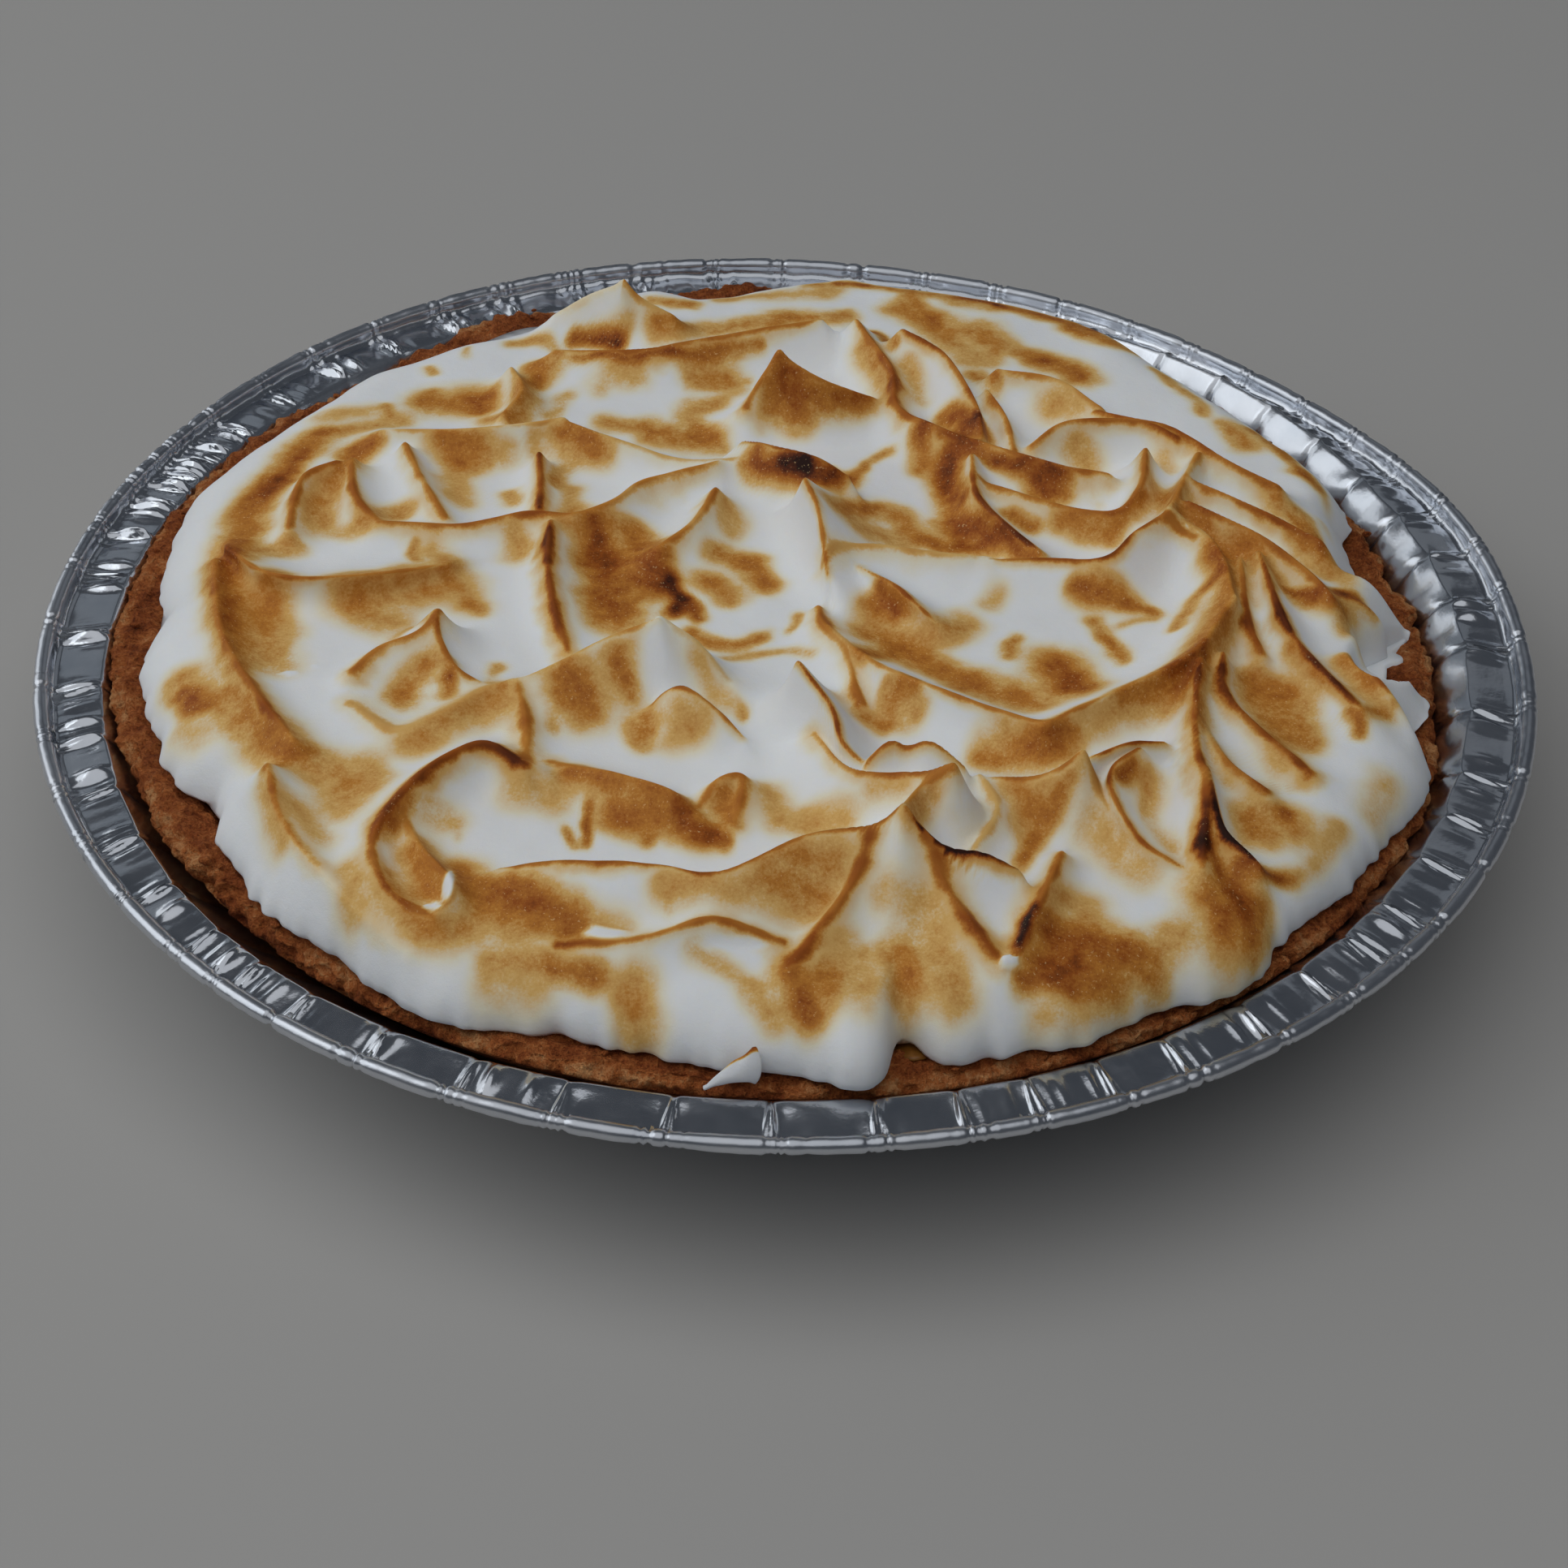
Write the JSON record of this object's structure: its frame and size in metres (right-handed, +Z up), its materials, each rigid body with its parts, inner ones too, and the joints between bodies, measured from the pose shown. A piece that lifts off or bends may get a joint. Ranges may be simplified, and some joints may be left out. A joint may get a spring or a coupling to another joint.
{
  "type": "lemon meringue pie in a foil tin",
  "caption": "Whole lemon meringue pie in its disposable foil pie tin: crumbly brown crust, lemon filling under a swirled meringue top toasted on its crests",
  "frame": {"origin": "centre of the underside of the tin, on the surface that it stands on", "axes": "+Z up, -Y the front of the pie where the loose flake of meringue lies, +X to its right"},
  "size_m": [0.229, 0.229, 0.0479],
  "materials": {
    "foil": "bright thin foil with creases, pleats and a rolled edge",
    "crust": "dry brown short pastry with a crumbly edge",
    "filling": "set lemon filling, smooth and moist",
    "meringue": "soft white meringue, toasted golden to dark brown on its crests and flanks"
  },
  "bodies": {
    "root": {"foil_pan": "foil", "crust": "crust", "lemon_filling": "filling", "meringue": "meringue", "meringue_flake": "meringue"}
  },
  "joints": []
}
